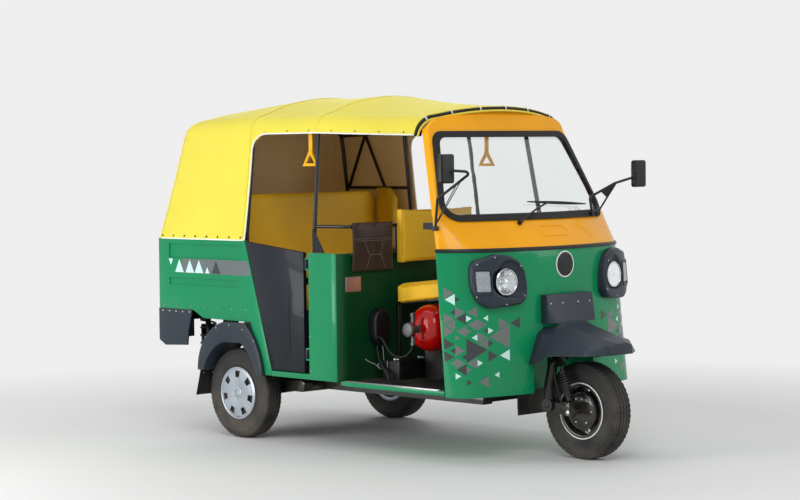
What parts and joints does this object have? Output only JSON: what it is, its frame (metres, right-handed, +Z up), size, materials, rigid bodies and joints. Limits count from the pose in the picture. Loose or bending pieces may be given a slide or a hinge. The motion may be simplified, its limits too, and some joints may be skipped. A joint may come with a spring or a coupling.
{
  "type": "auto rickshaw",
  "caption": "Three-wheeled passenger taxi with a canvas canopy, open cab, half doors, bench seat and a steered front wheel.",
  "frame": {"origin": "middle of the vehicle's footprint, on the ground", "axes": "+Z up, -Y is the front, +X is the vehicle's left side"},
  "size_m": [1.59, 2.915, 1.893],
  "materials": {
    "green_paint": "gloss green paint on pressed steel",
    "orange_paint": "gloss orange paint on pressed steel",
    "dark_panel": "satin dark grey paint",
    "black_frame": "black paint on steel tube",
    "grey_plastic": "moulded dark grey plastic",
    "black_rubber": "black rubber",
    "tyre": "black tyre rubber",
    "glass": "clear laminated glass",
    "lamp_glass": "clear lamp lens",
    "red_lens": "red and amber lamp lens",
    "wheel_silver": "silver wheel trim",
    "wheel_black": "black wheel with a bright rim",
    "canopy_fabric": "yellow coated canvas",
    "yellow_vinyl": "yellow leathercloth",
    "brown_vinyl": "brown stitched leathercloth",
    "cylinder_red": "gloss red paint on steel",
    "strap_yellow": "yellow moulded strap",
    "cast_metal": "cast casing",
    "lead_cover": "pale cable sheath",
    "trim_black": "black trim"
  },
  "bodies": {
    "body": {"front_shell": "green_paint", "upper_shell": "orange_paint", "belt_moulding": "trim_black", "windscreen_seal": "black_rubber", "windscreen": "glass", "dashboard": "grey_plastic", "headlamp_housings": "grey_plastic", "headlamps": "lamp_glass", "front_mudguard": "grey_plastic", "wiper": "trim_black", "mirrors": "trim_black", "cab_floor": "green_paint", "partition": "green_paint", "partition_pouch": "brown_vinyl", "grab_rail": "black_frame", "pipe_cover": "grey_plastic", "passenger_floor": "black_frame", "side_panels": "green_paint", "rear_frame": "green_paint", "rear_guards": "grey_plastic", "tail_lamps": "red_lens", "wheel_arches": "grey_plastic", "seat_box": "green_paint", "rear_seat": "yellow_vinyl", "rear_backrest": "yellow_vinyl", "driver_seat": "yellow_vinyl", "driver_backrest": "yellow_vinyl", "seat_frame": "black_frame", "gas_cylinder": "cylinder_red", "canopy": "canopy_fabric", "canopy_frame": "black_frame", "hand_straps": "strap_yellow", "chassis_frame": "black_frame", "steering_head": "black_frame", "rear_suspension": "black_frame", "engine_block": "cast_metal", "mud_flaps": "black_rubber", "bench_wings": "yellow_vinyl", "battery": "trim_black", "gas_hose": "black_rubber", "filler_hose": "black_rubber", "loose_lead": "lead_cover"},
    "steering": {"steering_fork": "black_frame", "handlebar": "black_frame", "front_link": "black_frame", "front_spring": "black_frame", "brake_cable": "black_rubber"},
    "front_wheel": {"front_wheel": "wheel_black", "front_tyre": "tyre"},
    "rear_wheel_right": {"rear_wheel_right": "wheel_silver", "rear_tyre_right": "tyre"},
    "rear_wheel_left": {"rear_wheel_left": "wheel_silver", "rear_tyre_left": "tyre"},
    "door_right": {"door_right": "dark_panel"},
    "door_left": {"door_left": "dark_panel"},
    "rear_hatch": {"rear_hatch": "green_paint"}
  },
  "joints": [
    {"name": "steer", "type": "hinge", "parent": "body", "child": "steering", "pos_m": [0, -1.0975, 0.56], "axis": [0, 0.342, 0.9397], "range_deg": [-38, 38]},
    {"name": "front_wheel_spin", "type": "hinge", "parent": "steering", "child": "front_wheel", "pos_m": [0, -1.2075, 0.25], "axis": [1, 0, 0], "continuous": true},
    {"name": "rear_wheel_right_spin", "type": "hinge", "parent": "body", "child": "rear_wheel_right", "pos_m": [-0.585, 0.8025, 0.25], "axis": [1, 0, 0], "continuous": true},
    {"name": "rear_wheel_left_spin", "type": "hinge", "parent": "body", "child": "rear_wheel_left", "pos_m": [0.585, 0.8025, 0.25], "axis": [1, 0, 0], "continuous": true},
    {"name": "door_right_swing", "type": "hinge", "parent": "body", "child": "door_right", "pos_m": [-0.672, 0.1845, 0.7], "axis": [0, 0, 1], "range_deg": [0, 85]},
    {"name": "door_left_swing", "type": "hinge", "parent": "body", "child": "door_left", "pos_m": [0.672, 0.1845, 0.7], "axis": [0, 0, -1], "range_deg": [0, 85]},
    {"name": "rear_hatch_swing", "type": "hinge", "parent": "body", "child": "rear_hatch", "pos_m": [0, 1.4465, 1.058], "axis": [1, 0, 0], "range_deg": [0, 75]}
  ]
}
